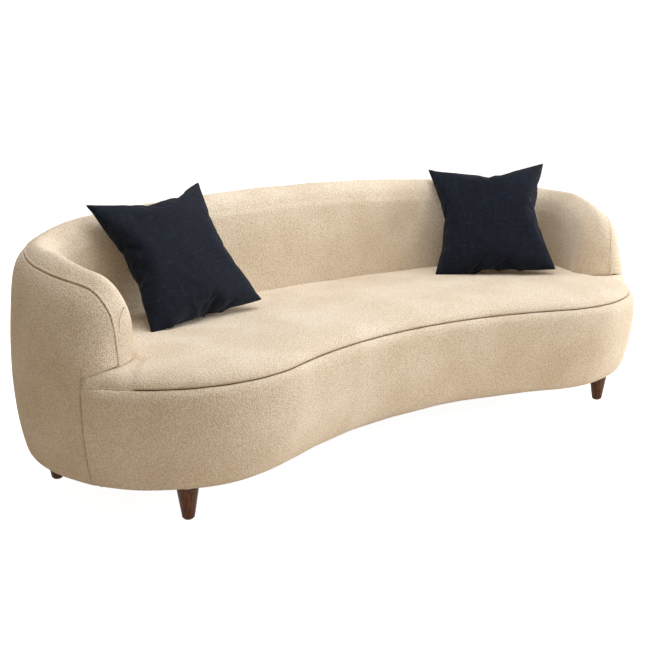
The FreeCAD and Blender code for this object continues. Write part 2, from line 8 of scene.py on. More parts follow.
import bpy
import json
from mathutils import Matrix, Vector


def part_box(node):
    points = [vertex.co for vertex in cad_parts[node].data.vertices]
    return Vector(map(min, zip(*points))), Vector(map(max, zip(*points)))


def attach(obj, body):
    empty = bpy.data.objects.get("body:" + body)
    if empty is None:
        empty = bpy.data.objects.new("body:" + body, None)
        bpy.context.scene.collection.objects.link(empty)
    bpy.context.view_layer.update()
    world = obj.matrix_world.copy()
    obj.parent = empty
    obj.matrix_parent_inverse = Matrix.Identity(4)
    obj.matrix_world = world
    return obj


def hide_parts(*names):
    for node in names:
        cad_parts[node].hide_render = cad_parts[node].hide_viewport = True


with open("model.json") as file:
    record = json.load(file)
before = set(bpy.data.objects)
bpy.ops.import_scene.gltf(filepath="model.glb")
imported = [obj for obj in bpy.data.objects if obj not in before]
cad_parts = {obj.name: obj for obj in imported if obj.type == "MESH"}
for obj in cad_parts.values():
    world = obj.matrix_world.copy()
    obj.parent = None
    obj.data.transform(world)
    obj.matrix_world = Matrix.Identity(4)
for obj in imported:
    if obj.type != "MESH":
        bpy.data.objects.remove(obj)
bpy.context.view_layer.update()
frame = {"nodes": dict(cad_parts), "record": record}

import json
import math

import bmesh
import bpy
import numpy as np
from mathutils import Vector
from mathutils.geometry import delaunay_2d_cdt

# %% [markdown]
# ## The plan of the sofa
#
# Seen from above, each half of the sofa is four arcs that meet without a corner: the long
# sweep of the back, the corner, the round end and the hollow front. One number, the
# station, walks along them: 0 is the middle of the back and 4 the middle of the front, and
# a minus sign is the left half. An upholsterer would draw the same line on the floor and
# measure everything inwards from it, so an inset here is a distance inwards from that line.

# %% Sizes of the plan
half_width, half_depth = 1.150, 0.4525
back_radius, lobe_radius, front_recess = 4.442, 0.441, 0.148
back_centre = (0.0, half_depth - back_radius)
lobe_centre = (half_width - lobe_radius, lobe_radius - half_depth)
corner_reach = lobe_centre[1] - back_centre[1]
corner_radius = (back_radius ** 2 - half_width ** 2 - corner_reach ** 2) / (
    2 * (back_radius - half_width))
corner_centre = (half_width - corner_radius, lobe_centre[1])
lobe_rise = lobe_radius - front_recess
front_radius = (lobe_centre[0] ** 2 + lobe_rise ** 2 - lobe_radius ** 2) / (2 * front_recess)
front_centre = (0.0, front_recess - half_depth - front_radius)
back_angle = math.atan2(corner_centre[0], corner_centre[1] - back_centre[1])
front_angle = math.atan2(lobe_centre[0], lobe_centre[1] - front_centre[1])
lobe_turn = math.pi / 2 + front_angle

arcs = ((back_centre, back_radius, 1, 0.0, back_angle),
        (corner_centre, corner_radius, 1, back_angle, math.pi / 2),
        (lobe_centre, lobe_radius, 1, math.pi / 2, math.pi + front_angle),
        (front_centre, front_radius, -1, front_angle, 0.0))
print("corner radius %.3f, front radius %.3f" % (corner_radius, front_radius))


def plan_point(station, inset):
    """x and y at a station, moved inwards by one inset or by several."""
    index = min(int(abs(station)), 3)
    centre, radius, side, start, end = arcs[index]
    angle = start + (end - start) * (abs(station) - index)
    reach = radius - side * np.asarray(inset, float)
    x = centre[0] + reach * math.sin(angle)
    return math.copysign(1.0, station) * x, centre[1] + reach * math.cos(angle)


def arc_length(index):
    return arcs[index][1] * abs(arcs[index][4] - arcs[index][3])


seam_steps = (0.0, 0.0012, 0.0026, 0.0044, 0.0068, 0.0105)
column_spacing = 0.012


def stations_between(start, end, spacing=column_spacing, fine_start=False, fine_end=False):
    """Stations about one spacing apart, closer together where an end has a seam."""
    walked = [0.0]
    for index in range(4):
        walked.append(walked[-1] + arc_length(index))
    a, b = np.interp([start, end], range(5), walked)
    count = max(2, int(round((b - a) / spacing)) + 1)
    along = np.linspace(a, b, count)
    near = np.array(seam_steps)
    if fine_start:
        along = np.concatenate([a + near, along[along > a + near[-1] + spacing / 2]])
    if fine_end:
        along = np.concatenate([along[along < b - near[-1] - spacing / 2], b - near[::-1]])
    return np.interp(along, walked, range(5))

# %% [markdown]
# ## The section of the upholstered band
#
# The back and the arms are one long padded roll. Cut through anywhere, it shows the same
# shape: plumb outside, a soft shoulder, a round top and a steep inside face. It is 145 mm
# thick along the back and 205 mm at the arm fronts, where it rounds off like the nose of a
# boat. The curve below passes smoothly through a few named points of that section.

# %% Heights and thickness along the band
underside, foot_inset = 0.095, 0.066
waist = 0.385
rim_middle, rim_corner, rim_side, rim_arm_front = 0.762, 0.730, 0.690, 0.652
back_thickness, arm_thickness = 0.145, 0.205
thickening_start = 1.7
nose_length, nose_drop = 0.118, 0.120
outer_share = 0.7
arm_tip_angle, panel_end_angle = 41.0, 29.5
arm_tip = 2.0 + math.radians(arm_tip_angle) / lobe_turn
panel_end = 2.0 + math.radians(panel_end_angle) / lobe_turn
nose_start = arm_tip - nose_length / arc_length(2)
seam_insets = ((0.0, 0.050), (1.6, 0.050), (2.0, 0.054), (2.12, 0.064), (2.21, 0.072),
               (2.30, 0.074), (2.36, 0.079))
last_seam_inset = seam_insets[-1][1]


def rim_seam_inset(station):
    """Inset of the rim seam: it climbs further onto the rim over the arms."""
    return float(np.interp(abs(station), *zip(*seam_insets)))


def nose_rounding(station):
    """0 along the arm, 1 at the very tip of its front."""
    share = (abs(station) - nose_start) / (arm_tip - nose_start)
    return 1 - math.sqrt(1 - min(max(share, 0.0), 1.0) ** 2)


def rim_height(station):
    s = abs(station)
    if s <= 1:
        return rim_middle - (rim_middle - rim_corner) * s ** 2
    if s <= 2:
        return rim_side + (rim_corner - rim_side) * (2 - s) ** 1.5
    return rim_side - (rim_side - rim_arm_front) * (s - 2) / (nose_start - 2)


def band_sides(station):
    """Inset of the band's outer and inner side."""
    share = (abs(station) - thickening_start) / (nose_start - thickening_start)
    thick = back_thickness + (arm_thickness - back_thickness) * min(max(share, 0.0), 1.0)
    rounding = nose_rounding(station)
    return outer_share * thick * rounding, thick * (1 - (1 - outer_share) * rounding)


def smooth_curve(points, steps=14):
    """Curve through all the points, with no kinks between them."""
    before = 2 * np.array(points[0]) - points[1]
    after = 2 * np.array(points[-1]) - points[-2]
    p = np.array([before, *points, after])
    t = (np.arange(steps) / steps)[:, None]
    found = []
    for a, b, c, d in zip(p[:-3], p[1:-2], p[2:-1], p[3:]):
        found.append(0.5 * (2 * b + (c - a) * t + (2 * a - 5 * b + 4 * c - d) * t ** 2
                            + (3 * b - a - 3 * c + d) * t ** 3))
    return np.vstack(found + [p[-2:-1]])


body_profile = ((0.066, 0.095), (0.0356, 0.116), (0.020, 0.158), (0.006, 0.2315), (0.0, 0.305))
roll_profile = ((0.09, 0.110), (0.21, 0.047), (0.44, 0.008), (0.62, 0.0), (0.82, 0.022),
                (0.93, 0.055), (0.98, 0.105))
neck_share, seat_level = 0.0225, 0.400


def band_section(station):
    """Points (inset, height) from the underside up the outside and down the inside."""
    outer, inner = band_sides(station)
    width = inner - outer
    top = rim_height(station) - nose_drop * nose_rounding(station)
    scale = width / back_thickness
    roll = [(outer + a * width, top - b * scale) for a, b in roll_profile]
    neck = (outer + neck_share * width, (waist + roll[0][1]) / 2)
    body = [(outer + a, b) for a, b in body_profile]
    return smooth_curve(body + [(outer, waist), neck] + roll + [(inner, seat_level)])


def rising_side(station):
    """The outer side of the section, from the underside to its highest point."""
    section = band_section(station)
    return section[:int(np.argmax(section[:, 1])) + 1]


def rim_seam_height(station, rising):
    shoulder = rising[rising[:, 1] > waist]
    return float(np.interp(rim_seam_inset(station), shoulder[:, 0], shoulder[:, 1]))


print("band section at the back:", len(band_section(0.0)), "points")

# %% [markdown]
# ## Turning sections into cloth
#
# A cover is a grid: columns are sections, rows run along the seam. Rows lie closer
# together beside a seam, because there the cloth dives into the stitches. Each piece is
# its own mesh with its own thickness, as each cut of cloth is on the real sofa.

# %% Helpers that lay out rows and build a mesh from a grid
def spread(length, count, fine_start=True, fine_end=True):
    """Distances along a row or column, close together near an end that is sewn."""
    near = np.array(seam_steps)
    start = near if fine_start else near[:1]
    end = near if fine_end else near[:1]
    inner_length = length - start[-1] - end[-1]
    middle = start[-1] + inner_length * np.arange(1, count) / count
    return np.concatenate([start, middle, length - end[::-1]])


def along_polyline(points, distances):
    """Points along a line at the given distances, which are scaled to its length."""
    steps = np.r_[0.0, np.cumsum(np.linalg.norm(np.diff(points, axis=0), axis=1))]
    scaled = np.asarray(distances) * steps[-1] / distances[-1]
    return np.column_stack([np.interp(scaled, steps, points[:, k]) for k in (0, 1)])


def lift_to_plan(station, section):
    x, y = plan_point(station, section[:, 0])
    return np.column_stack([x, y, section[:, 1]])


def grid_normals(grid):
    """Unit normals of a grid of points, pointing out of the sofa."""
    across = np.gradient(grid, axis=0)
    along = np.gradient(grid, axis=1)
    normal = np.cross(along, across)
    size = np.linalg.norm(normal, axis=2, keepdims=True)
    return normal / np.maximum(size, 1e-12)


def mesh_object(name, vertices, faces):
    mesh = bpy.data.meshes.new(name)
    mesh.from_pydata([tuple(v) for v in vertices], [], [tuple(f) for f in faces])
    mesh.validate()
    made = bpy.data.objects.new(name, mesh)
    bpy.context.scene.collection.objects.link(made)
    for polygon in mesh.polygons:
        polygon.use_smooth = True
    return made


def grid_faces(columns, rows, offset=0):
    c, r = np.meshgrid(np.arange(columns - 1), np.arange(rows - 1), indexing="ij")
    a = (offset + c * rows + r).ravel()
    return np.column_stack([a, a + 1, a + rows + 1, a + rows])


def grids_object(name, grids, weld=2e-5):
    """One mesh from one or more grids. Points that coincide are welded."""
    vertices, faces, offset = [], [], 0
    for grid in grids:
        columns, rows = grid.shape[:2]
        vertices.append(grid.reshape(-1, 3))
        faces.append(grid_faces(columns, rows, offset))
        offset += columns * rows
    made = mesh_object(name, np.vstack(vertices), np.vstack(faces))
    bm = bmesh.new()
    bm.from_mesh(made.data)
    bmesh.ops.remove_doubles(bm, verts=bm.verts, dist=weld)
    bmesh.ops.dissolve_degenerate(bm, edges=bm.edges, dist=1e-6)
    bmesh.ops.recalc_face_normals(bm, faces=bm.faces)
    bm.to_mesh(made.data)
    bm.free()
    for polygon in made.data.polygons:
        polygon.use_smooth = True
    return made


def thicken(piece, thickness):
    """Give a cover its cloth and wadding, on the hidden side."""
    modifier = piece.modifiers.new("cloth_thickness", "SOLIDIFY")
    modifier.thickness = thickness
    modifier.offset = -1.0


def seam_dip(distance, depth=0.0032, width=0.0028):
    """How deep cloth lies below the surface at a distance from its stitches."""
    return depth * np.exp(-(np.asarray(distance) / width) ** 2)


wave_size, wave_height, wave_count = 0.17, 0.0012, 9


def hand_waves(grid, seed, size=wave_size):
    """Slow swells of hand-laid padding, as a sum of a few tilted waves."""
    local = np.random.default_rng(seed)
    total = np.zeros(grid.shape[:-1])
    for _ in range(wave_count):
        direction = local.normal(size=3)
        direction /= np.linalg.norm(direction)
        wavelength = size * local.uniform(0.6, 1.7)
        total += np.sin(grid @ direction * 2 * math.pi / wavelength + local.uniform(0, 6.28))
    return wave_height * total / math.sqrt(wave_count)


# %% [markdown]
# ## Where the band meets the seat
#
# The seat is one tight cover with a soft front edge. It rises in a quarter round from the
# seam and runs flat to the back. The arm fronts stand on that round edge, so their lower
# border follows it up.

# %% The height of the seat near its edge
seat_top, seat_seam, seat_seam_inset = 0.425, 0.382, 0.018
seat_rolls = ((0.0, 0.022), (0.05, 0.032), (0.15, 0.075), (0.40, 0.125))
seat_crown = 0.006
seam_grows = arm_tip - 0.25 * (arm_tip - nose_start)


def edge_inset(station):
    """Inset of the seat's front seam: flush with the panel at first, then drawn in."""
    share = (abs(station) - panel_end) / (seam_grows - panel_end)
    share = min(max(share, 0.0), 1.0)
    return seat_seam_inset * share * share * (3 - 2 * share)


def seat_roll(station):
    """Width of the seat's rounded front edge: tight beside the arm, soft along the front."""
    return float(np.interp(abs(station) - panel_end, *zip(*seat_rolls)))


def seat_edge_height(station, inset):
    roll = seat_roll(station)
    share = np.clip((inset - edge_inset(station)) / roll, 0.0, 1.0)
    return seat_seam + (seat_top - seat_seam) * np.sqrt(1 - (1 - share) ** 2)


seam_turn = nose_start + (arm_tip - nose_start) * math.sqrt(
    1 - (1 - last_seam_inset / (outer_share * arm_thickness)) ** 2)
print("the rim seam reaches the seat at station %.3f" % seam_turn)

# %% [markdown]
# ## Edges that dive into their stitches
#
# Where two cuts of cloth are sewn, both turn inwards at the stitches and leave a narrow
# valley. Each grid knows which of its sides are sewn: its points sink near them, and one
# more row goes down inside, so that no light passes through the seam.

# %% A grid with sewn edges
hem_depth = 0.009
calm_width = 0.03
pucker_height, pucker_length, pucker_reach, pucker_limit = 0.0004, 0.016, 0.02, 0.2
under_lap, under_gap = 0.012, 0.0012


def walked(grid, axis):
    """Distance walked along a grid's columns (0) or rows (1)."""
    steps = np.linalg.norm(np.diff(grid, axis=axis), axis=2)
    pad = np.zeros((1, grid.shape[1])) if axis == 0 else np.zeros((grid.shape[0], 1))
    return np.concatenate([pad, np.cumsum(steps, axis=axis)], axis=axis)


def sew(grid, sides, seed):
    """Sink a grid near its sewn sides, add a hem there and give the cloth slow waves."""
    normal = grid_normals(grid)
    rows, columns = walked(grid, 1), walked(grid, 0)
    reach = {"first_row": rows, "last_row": rows[:, -1:] - rows,
             "first_column": columns, "last_column": columns[-1:] - columns}
    nearest = np.full(grid.shape[:2], 1.0)
    depth = np.zeros(grid.shape[:2])
    for side in sides:
        depth = np.maximum(depth, seam_dip(reach[side]))
        nearest = np.minimum(nearest, reach[side])
    calm = np.clip(nearest / calm_width, 0, 1)
    pucker = pucker_height * np.sin(columns / pucker_length) * np.exp(-nearest / pucker_reach)
    pucker *= nearest < pucker_limit
    shift = hand_waves(grid, seed) * calm + pucker - depth
    made = grid + normal * shift[..., None]
    for side in sides:
        normal = grid_normals(made)
        if side == "first_row":
            made = np.concatenate([made[:, :1] - normal[:, :1] * hem_depth, made], axis=1)
        if side == "last_row":
            made = np.concatenate([made, made[:, -1:] - normal[:, -1:] * hem_depth], axis=1)
        if side == "first_column":
            made = np.concatenate([made[:1] - normal[:1] * hem_depth, made], axis=0)
        if side == "last_column":
            made = np.concatenate([made, made[-1:] - normal[-1:] * hem_depth], axis=0)
    return made


def tucked_under(first_rows, stations):
    """The edge of a cover once it is folded under the frame."""
    under = first_rows.copy()
    for i, s in enumerate(stations[:len(under)]):
        under[i, 0] = (*plan_point(s, foot_inset + under_lap), underside + under_gap)
    return under


def both_halves(right):
    """Stations of both halves from those of the right half, which start at 0."""
    return np.concatenate([-right[::-1][:-1], right])


# %% [markdown]
# ## The outside panel
#
# One long piece of cloth covers the outside, from under the frame up to the rim. On the
# real sofa it is pulled down over wadding and stapled under the base. Below the seat it
# ends at an upright seam, and above the seat it runs on round the arm front.

# %% Cut the outside panel
split_row = 0.380
below_seat = 0.002
near_end = stations_between(0.0, panel_end, fine_end=True)
nose_column_count = 26


def nose_angle(station):
    return math.asin((station - nose_start) / (arm_tip - nose_start))


def nose_columns(start, end, count):
    """Stations over the arm front, evenly spaced round its curve."""
    angles = np.linspace(nose_angle(start), nose_angle(end), count)
    return nose_start + (arm_tip - nose_start) * np.sin(angles)


before_turn = seam_turn - 0.0006
panel_columns = both_halves(np.concatenate(
    [near_end, [panel_end + 0.0003],
     nose_columns(panel_end + 0.004, before_turn, nose_column_count)]))


def clip_rising(section, low, high):
    """Part of a section that rises between two heights."""
    heights = section[:, 1]
    inside = section[(heights > low + 1e-6) & (heights < high - 1e-6)]
    ends = [[np.interp(h, heights, section[:, 0]), h] for h in (low, high)]
    return np.vstack([ends[0], inside, ends[1]])


def panel_start(station):
    """Where the upper part of the panel starts: beyond the seam it stands on the seat."""
    if abs(station) <= panel_end + 1e-9:
        return split_row
    outer, _ = band_sides(station)
    return float(seat_edge_height(station, outer)) - below_seat


cover_height = 0.33
lower_rows = spread(cover_height, 26, fine_start=False, fine_end=False)
upper_rows = spread(cover_height, 24)
grid = []
for s in panel_columns:
    rising = rising_side(s)
    seam_height = rim_seam_height(s, rising)
    start = min(panel_start(s), seam_height - below_seat)
    low = along_polyline(clip_rising(rising, underside, start), lower_rows)
    high = along_polyline(clip_rising(rising, start, seam_height), upper_rows)
    grid.append(lift_to_plan(s, np.vstack([low, high[1:]])))
panel_plain = np.array(grid)
split = len(lower_rows) - 1

# %% Sew the outside panel
inside_end = np.abs(panel_columns) <= panel_end + 1e-9
first, last = np.nonzero(inside_end)[0][[0, -1]]
panel_normal = grid_normals(panel_plain)
panel_grid = sew(panel_plain, ["last_row"], seed=1)
way = walked(panel_plain, 0)
to_seam = np.minimum(np.abs(way - way[first]), np.abs(way - way[last]))
fade_rows, fade_length = 4, 0.02
fade = np.clip((split + 1 - np.arange(panel_plain.shape[1])) / fade_rows, 0, 1)
upright = seam_dip(to_seam, depth=0.0045, width=0.0036) * fade
rise = walked(panel_plain, 1)
junction = seam_dip(np.abs(rise - rise[:, split:split + 1]), depth=0.0026, width=0.004)
ahead = np.clip((np.abs(panel_columns) - panel_end) / fade_length, 0, 1)[:, None]
sink = np.maximum(upright, junction * ahead)
panel_grid[:, :-1] -= panel_normal * sink[..., None]
hems = []
for column in (first, last):
    edge = panel_grid[column:column + 1, :split + 1]
    inward = edge - panel_normal[column:column + 1, :split + 1] * hem_depth
    hems.append(np.concatenate([edge, inward]))
panel_grid = np.concatenate([tucked_under(panel_grid[:, :1], panel_columns), panel_grid], axis=1)
for i in np.nonzero(~inside_end)[0]:
    panel_grid[i, :split + 1] = panel_grid[i, split + 1]
outside_panel = grids_object("outside_panel", [panel_grid, *hems])
print("outside panel:", len(outside_panel.data.polygons), "faces")

# %% [markdown]
# ## The rim and the inside of the band
#
# A second cut of cloth starts at the rim seam, wraps over the top and runs down inside
# until it tucks behind the seat. Over the arm front it is eased round the nose, which is
# why upholsterers put the seam there and not on the very top.

# %% Cut and sew the rim cover
rim_columns = both_halves(np.concatenate(
    [stations_between(0.0, nose_start)[:-1],
     nose_columns(nose_start, before_turn, nose_column_count),
     nose_columns(seam_turn, arm_tip, 20)]))
rim_rows = spread(0.5, 64, fine_end=False)


def rim_line(station):
    """The band's section from the rim seam, or from the seat, over the top to the inside."""
    rising = rising_side(station)
    outer, _ = band_sides(station)
    if outer < rim_seam_inset(station) - 1e-4:
        height = rim_seam_height(station, rising)
    else:
        height = float(seat_edge_height(station, outer)) - 2 * below_seat
    start = [np.interp(height, rising[:, 1], rising[:, 0]), height]
    falling = band_section(station)[len(rising):]
    return np.vstack([start, rising[rising[:, 1] > height + 1e-5], falling])


rim_plain = np.array([lift_to_plan(s, along_polyline(rim_line(s), rim_rows)) for s in rim_columns])
rim_grid = sew(rim_plain, ["first_row"], seed=2)
rim_cover = grids_object("rim_cloth", [rim_grid])
print("rim and inside cover:", len(rim_cover.data.polygons), "faces")

# %% [markdown]
# ## The front border
#
# Below the seat seam a plain border follows the bean shape. It bellies out a little, then
# curves under, because it is padded and pulled tight to the base. Its ends meet the
# outside panel in an upright seam.

# %% Cut and sew the front border
border_right = stations_between(panel_end, 4.0, fine_start=True)
border_columns = np.concatenate([border_right, -border_right[::-1][1:]])
border_rows = spread(cover_height, 30, fine_start=False)


def border_section(station):
    inset = edge_inset(station)
    shoulder = [(0.0, 0.345), (0.28 * inset, 0.368), (inset, seat_seam)]
    return smooth_curve(list(body_profile) + shoulder)


border_plain = np.array([lift_to_plan(s, along_polyline(border_section(s), border_rows))
                         for s in border_columns])
border_grid = sew(border_plain, ["last_row", "first_column", "last_column"], seed=3)
foot_row = border_grid[1:-1, :1]
fold = np.concatenate([tucked_under(foot_row, border_columns), foot_row], axis=1)
front_border = grids_object("front_border", [border_grid, fold])
print("front border:", len(front_border.data.polygons), "faces")

# %% [markdown]
# ## The seat
#
# The seat is tight: foam on springs under one cover. A few millimetres of crown keep it
# from looking like a board, and it dips where it tucks under the back and the arms.

# %% Cut and sew the seat
seat_inner_inset = 0.235
crown_start, crown_reach = 0.05, 0.15
tuck_depth, tuck_reach, tuck_under_cover = 0.006, 0.012, 0.010
seat_wave_size = 0.22
seat_right = np.concatenate([stations_between(0.0, panel_end - 0.02),
                             stations_between(panel_end, 4.0)])
seat_columns = np.concatenate([seat_right, -seat_right[::-1][1:-1]])


def crown(inset):
    """How far the seat swells above its edge at an inset."""
    return seat_crown * (1 - np.exp(-(np.maximum(inset - crown_start, 0) / crown_reach) ** 2))


def seat_line(station):
    if abs(station) < panel_end:
        inset = np.linspace(band_sides(station)[1] - tuck_under_cover, seat_inner_inset, 40)
    else:
        start = edge_inset(station)
        bend = np.linspace(0, math.pi / 2, 26)
        roll = seat_roll(station)
        flat_part = np.linspace(start + roll, seat_inner_inset, 14)[1:]
        inset = np.r_[start + roll * (1 - np.cos(bend)), flat_part]
    height = seat_edge_height(station, inset) + crown(inset)
    if abs(station) < arm_tip + 0.05:
        away = inset - band_sides(min(abs(station), arm_tip))[1]
        height = height - tuck_depth * np.exp(-(np.maximum(away, 0) / tuck_reach) ** 2)
    return np.column_stack([inset, height])


seat_rows = spread(0.24, 30, fine_end=False)
seat_ring = np.array([lift_to_plan(s, along_polyline(seat_line(s), seat_rows))
                      for s in seat_columns])
open_front = np.clip((np.abs(seat_columns) - panel_end) / 0.01, 0, 1)
padded_ring = np.concatenate([seat_ring[-1:], seat_ring, seat_ring[:1]])
seat_normal = -grid_normals(padded_ring)[1:-1]
seat_normal *= np.sign(seat_normal[:, -1:, 2:3])
start_distance = walked(seat_ring, 1)
dip = seam_dip(start_distance, depth=0.0018, width=0.0022) * open_front[:, None]
calm = np.clip(start_distance / calm_width, 0, 1)
seat_shift = hand_waves(seat_ring, 4, seat_wave_size) * calm - dip
seat_ring = seat_ring + seat_normal * seat_shift[..., None]
hem = seat_ring[:, :1] - seat_normal[:, :1] * hem_depth
seat_grid = np.concatenate([hem, seat_ring], axis=1)
seat_grid = np.concatenate([seat_grid, seat_grid[:1]])

# %% Fill the middle of the seat
edge_loop = seat_ring[:, -1]
loop_xy = [Vector(p[:2]) for p in edge_loop]
step = 0.016
points = list(loop_xy)
xs = np.arange(edge_loop[:, 0].min(), edge_loop[:, 0].max(), step)
for i, x in enumerate(xs):
    for y in np.arange(edge_loop[:, 1].min() - (i % 2) * step / 2, edge_loop[:, 1].max(), step):
        distance = np.hypot(edge_loop[:, 0] - x, edge_loop[:, 1] - y).min()
        if distance > 0.6 * step:
            points.append(Vector((x, y)))
loop = list(range(len(loop_xy)))
flat, _, triangles, originals, _, _ = delaunay_2d_cdt(points, [], [loop], 1, 1e-7)
flat = np.array([tuple(p) for p in flat])
depth_in = np.array([np.hypot(edge_loop[:, 0] - x, edge_loop[:, 1] - y).min() for x, y in flat])
height = seat_top + crown(seat_inner_inset + depth_in)
middle = np.column_stack([flat, height])
middle[:, 2] += hand_waves(middle, 4, seat_wave_size)
for k, source in enumerate(originals):
    on_loop = [i for i in source if i < len(loop_xy)]
    if on_loop:
        middle[k] = edge_loop[on_loop[0]]
columns, rows = seat_grid.shape[:2]
ring_faces = grid_faces(columns, rows)
faces = [tuple(f) for f in ring_faces] + [tuple(i + columns * rows for i in t) for t in triangles]
vertices = np.vstack([seat_grid.reshape(-1, 3), middle])
seat_cover = mesh_object("seat_cover_crowned", vertices, faces)
bm = bmesh.new()
bm.from_mesh(seat_cover.data)
bmesh.ops.remove_doubles(bm, verts=bm.verts, dist=2e-5)
bmesh.ops.recalc_face_normals(bm, faces=bm.faces)
bm.to_mesh(seat_cover.data)
bm.free()
print("seat:", len(seat_cover.data.polygons), "faces")

# %% [markdown]
# ## Seam lips
#
# Seams in thick cloth never lie flat. The seam allowance is pressed to one side and shows
# as a low ridge beside the valley. It is a strip with a half-round section that follows
# the cover next to its stitches.

# %% Sew the seam lips
lip_width, lip_height, lip_distance = 0.0062, 0.0017, 0.0046


def lip_strip(line, normal, across, sink=0.0008, segments=10):
    """Rows of points round a half-round strip; its lower half lies just inside the cloth."""
    angle = np.linspace(0, 2 * math.pi, segments, endpoint=False)
    wide = np.cos(angle) * lip_width / 2
    high = np.where(np.sin(angle) > 0, np.sin(angle) * lip_height, np.sin(angle) * sink)
    strip = (line[:, None] + across[:, None] * wide[None, :, None]
             + normal[:, None] * high[None, :, None])
    return np.concatenate([strip, strip[:, :1]], axis=1)


def seam_lip(name, line, normal, across):
    tangent = np.gradient(line, axis=0)
    tangent /= np.linalg.norm(tangent, axis=1, keepdims=True)
    across = across - (across * tangent).sum(1, keepdims=True) * tangent
    across /= np.maximum(np.linalg.norm(across, axis=1, keepdims=True), 1e-9)
    strip = lip_strip(line, normal, across)
    made = grids_object(name, [strip])
    bm = bmesh.new()
    bm.from_mesh(made.data)
    ends = [e for e in bm.edges if len(e.link_faces) == 1]
    bmesh.ops.holes_fill(bm, edges=ends, sides=32)
    bmesh.ops.recalc_face_normals(bm, faces=bm.faces)
    bm.to_mesh(made.data)
    bm.free()
    return made


def beside(grid, distance):
    """Line at a distance from a grid's first row, with its normals and inward directions."""
    walk = walked(grid, 1)
    normal = grid_normals(grid)
    line, up, across = [], [], []
    for column in range(len(grid)):
        line.append([np.interp(distance, walk[column], grid[column, :, k]) for k in range(3)])
        up.append([np.interp(distance, walk[column], normal[column, :, k]) for k in range(3)])
        k = int(np.searchsorted(walk[column], distance)) + 1
        across.append(grid[column, k] - grid[column, 0])
    return np.array(line), np.array(up), np.array(across)


shows = np.abs(rim_columns) < seam_turn - 0.0005
line, up, across = beside(rim_plain, lip_distance)
rim_lip = seam_lip("rim_seam_lip", line[shows], up[shows], across[shows])
shows = np.abs(seat_columns) > panel_end + 0.02
line, up, across = beside(seat_ring, lip_distance)
up = np.array([np.interp(0.012, walked(seat_ring, 1)[i], seat_normal[i, :, k])
               for i in range(len(seat_ring)) for k in range(3)]).reshape(-1, 3)
seat_lip = seam_lip("seat_seam_lip", line[shows], up[shows], across[shows])
side_lips = []
reach = walked(border_grid, 0)[:, 12]
for side in ("right", "left"):
    from_end = reach - reach[1] if side == "right" else reach[-2] - reach
    column = int(np.abs(from_end - 0.0048).argmin())
    edge = border_grid[column, :-4]
    inward = border_grid[column + (1 if side == "right" else -1), :-4] - edge
    outward = grid_normals(border_grid)[column, :-4]
    side_lips.append(seam_lip("upright_seam_lip_" + side, edge, outward, inward))
print("seam lips:", rim_lip.name, seat_lip.name, [o.name for o in side_lips])

# %% [markdown]
# ## The dust cover
#
# A thin black cloth closes the underside and keeps dust and curious fingers out. It is cut
# to the bean shape with a hole for each leg, folded in and stapled. It sags by a few
# millimetres between its staples.

# %% Cut the dust cover
dust_inset, dust_height, dust_sag, slack_reach = 0.071, 0.0950, 0.003, 0.09
hole_radius, hole_sides = 0.0318, 24
leg_places = []
for name in ("leg_front_right", "leg_front_left", "leg_rear_right", "leg_rear_left"):
    low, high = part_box(name)
    leg_places.append(((low.x + high.x) / 2, (low.y + high.y) / 2))
half_stations = stations_between(0.0, 4.0, 0.02)
loop_stations = np.concatenate([half_stations, -half_stations[::-1][1:-1]])
rim_xy = np.array([plan_point(s, dust_inset) for s in loop_stations])
circles = [[(x + hole_radius * math.cos(a), y + hole_radius * math.sin(a))
            for a in np.linspace(0, 2 * math.pi, hole_sides, endpoint=False)]
           for x, y in leg_places]


def to_leg(x, y):
    return min(math.hypot(x - a, y - b) for a, b in leg_places)


def to_edge(x, y):
    return np.hypot(rim_xy[:, 0] - x, rim_xy[:, 1] - y).min()


points = [Vector(p) for p in rim_xy]
loops = [list(range(len(points)))]
edges = []
for circle in circles:
    first_point = len(points)
    points += [Vector(p) for p in circle]
    edges += [(first_point + k, first_point + (k + 1) % hole_sides) for k in range(hole_sides)]
step = 0.03
for i, x in enumerate(np.arange(-1.08, 1.08, step)):
    for y in np.arange(-0.39 - (i % 2) * step / 2, 0.39, step):
        if to_edge(x, y) > 0.5 * step and to_leg(x, y) > hole_radius + 0.5 * step:
            points.append(Vector((x, y)))
flat, _, triangles, _, _, _ = delaunay_2d_cdt(points, edges, loops, 1, 1e-7)
kept = []
for triangle in triangles:
    middle_x = sum(flat[i].x for i in triangle) / 3
    middle_y = sum(flat[i].y for i in triangle) / 3
    if to_leg(middle_x, middle_y) > hole_radius - 0.001:
        kept.append(tuple(triangle))
cloth = []
for p in flat:
    free = min(to_edge(p.x, p.y), max(to_leg(p.x, p.y) - hole_radius, 0))
    slack = 1 - math.exp(-(free / slack_reach) ** 2)
    cloth.append((p.x, p.y, dust_height - dust_sag * slack))
dust_cover = mesh_object("dust_cover_cloth", cloth, kept)

# %% [markdown]
# ## Scatter cushions
#
# A scatter cushion is two squares of cloth sewn together and filled. Nobody models its
# folds by hand: two flat squares are sewn edge to edge here as well, and a cloth
# simulation blows them up. The corners pull out into ears and the edges draw in, as they
# do on the real one.

# %% Sew and fill a cushion
cushion_side, cushion_thickness = 0.435, 0.118
cushion_grid, cut_larger, blown_thicker = 56, 1.03, 1.62
start_swell, bump_height, bump_spread, bump_count = 0.012, 0.0025, 0.03, 14


